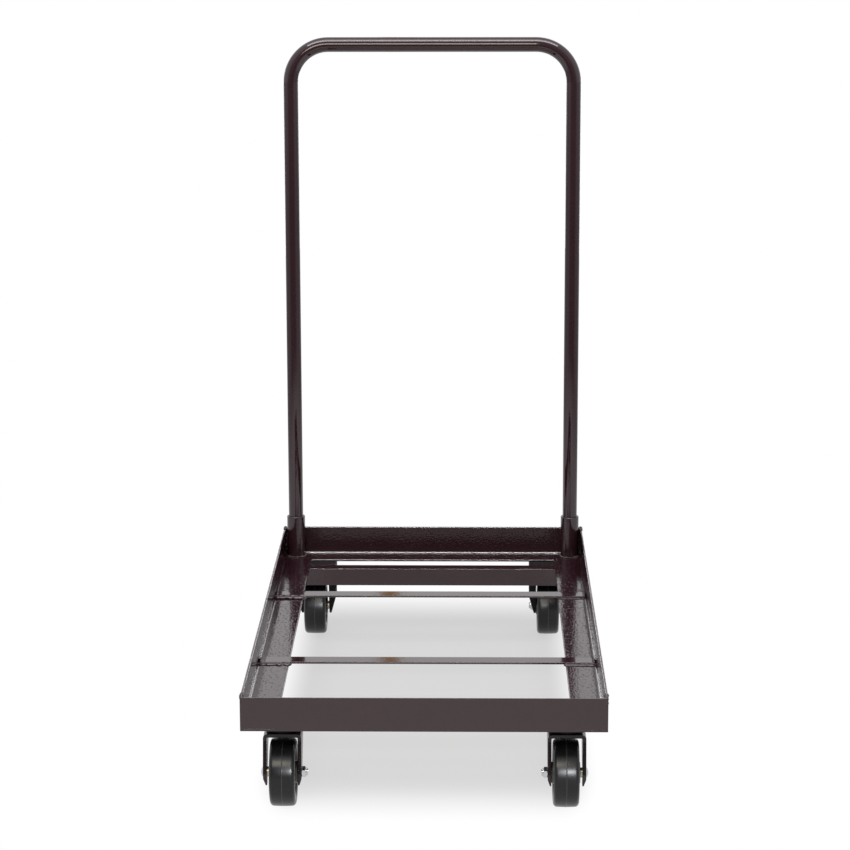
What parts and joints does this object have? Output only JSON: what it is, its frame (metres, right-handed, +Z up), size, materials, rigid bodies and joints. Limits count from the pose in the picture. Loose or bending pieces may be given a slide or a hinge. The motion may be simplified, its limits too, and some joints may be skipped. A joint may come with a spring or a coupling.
{
  "type": "stacking chair trolley",
  "caption": "Low angle-iron chair trolley on swivel and rigid casters, with deck straps and a tall tubular push handle that lifts out of its corner sockets.",
  "frame": {"origin": "on the floor, below the middle of the base", "axes": "+X to the right, +Y towards the handle end, +Z up"},
  "size_m": [0.534, 1, 1.057],
  "materials": {
    "brown_coat": "gloss brown powder coat",
    "black_coat": "black coated pressed steel",
    "zinc": "bright zinc plate",
    "yellow_zinc": "yellow zinc plate",
    "wheel_rubber": "smooth black hard rubber",
    "bearing_nylon": "natural nylon"
  },
  "bodies": {
    "base": {"side_rail_left": "brown_coat", "side_rail_right": "brown_coat", "front_rail": "brown_coat", "rear_rail": "brown_coat", "front_strap": "brown_coat", "rear_strap": "brown_coat", "front_cross_angle": "brown_coat", "rear_cross_angle": "brown_coat", "handle_socket_left": "brown_coat", "handle_socket_right": "brown_coat", "corner_welds": "brown_coat", "strap_welds": "brown_coat", "cross_welds": "brown_coat", "socket_welds": "brown_coat", "plate_welds": "brown_coat", "swivel_plate_left": "black_coat", "swivel_plate_right": "black_coat", "king_pin_left": "zinc", "king_pin_right": "zinc", "race_balls_left": "zinc", "race_balls_right": "zinc", "rigid_bracket_left": "black_coat", "rigid_bracket_right": "black_coat", "rear_bolt_left": "zinc", "rear_bolt_right": "zinc", "rear_nut_left": "zinc", "rear_nut_right": "zinc", "rear_bush_left": "yellow_zinc", "rear_bush_right": "yellow_zinc", "rear_spacer_left": "yellow_zinc", "rear_spacer_right": "yellow_zinc"},
    "handle": {"push_handle": "brown_coat"},
    "swivel_left": {"fork_left": "brown_coat", "race_cup_left": "black_coat", "front_bolt_left": "zinc", "front_nut_left": "zinc", "front_bush_left": "yellow_zinc", "front_spacer_left": "yellow_zinc"},
    "front_wheel_left": {"front_wheel_left": "wheel_rubber", "front_bearing_left": "bearing_nylon"},
    "rear_wheel_left": {"rear_wheel_left": "wheel_rubber", "rear_bearing_left": "bearing_nylon"},
    "swivel_right": {"fork_right": "brown_coat", "race_cup_right": "black_coat", "front_bolt_right": "zinc", "front_nut_right": "zinc", "front_bush_right": "yellow_zinc", "front_spacer_right": "yellow_zinc"},
    "front_wheel_right": {"front_wheel_right": "wheel_rubber", "front_bearing_right": "bearing_nylon"},
    "rear_wheel_right": {"rear_wheel_right": "wheel_rubber", "rear_bearing_right": "bearing_nylon"}
  },
  "joints": [
    {"name": "handle_lift", "type": "slide", "parent": "base", "child": "handle", "axis": [0, 0, 1], "range_m": [0, 0.08]},
    {"name": "swivel_left_turn", "type": "hinge", "parent": "base", "child": "swivel_left", "pos_m": [-0.2095, -0.424, 0.115], "axis": [0, 0, 1], "continuous": true},
    {"name": "front_wheel_left_roll", "type": "hinge", "parent": "swivel_left", "child": "front_wheel_left", "pos_m": [-0.208, -0.449, 0.0508], "axis": [1, 0, 0], "continuous": true},
    {"name": "rear_wheel_left_roll", "type": "hinge", "parent": "base", "child": "rear_wheel_left", "pos_m": [-0.2085, 0.444, 0.0508], "axis": [1, 0, 0], "continuous": true},
    {"name": "swivel_right_turn", "type": "hinge", "parent": "base", "child": "swivel_right", "pos_m": [0.2095, -0.424, 0.115], "axis": [0, 0, 1], "continuous": true},
    {"name": "front_wheel_right_roll", "type": "hinge", "parent": "swivel_right", "child": "front_wheel_right", "pos_m": [0.208, -0.449, 0.0508], "axis": [1, 0, 0], "continuous": true},
    {"name": "rear_wheel_right_roll", "type": "hinge", "parent": "base", "child": "rear_wheel_right", "pos_m": [0.2055, 0.444, 0.0508], "axis": [1, 0, 0], "continuous": true}
  ]
}
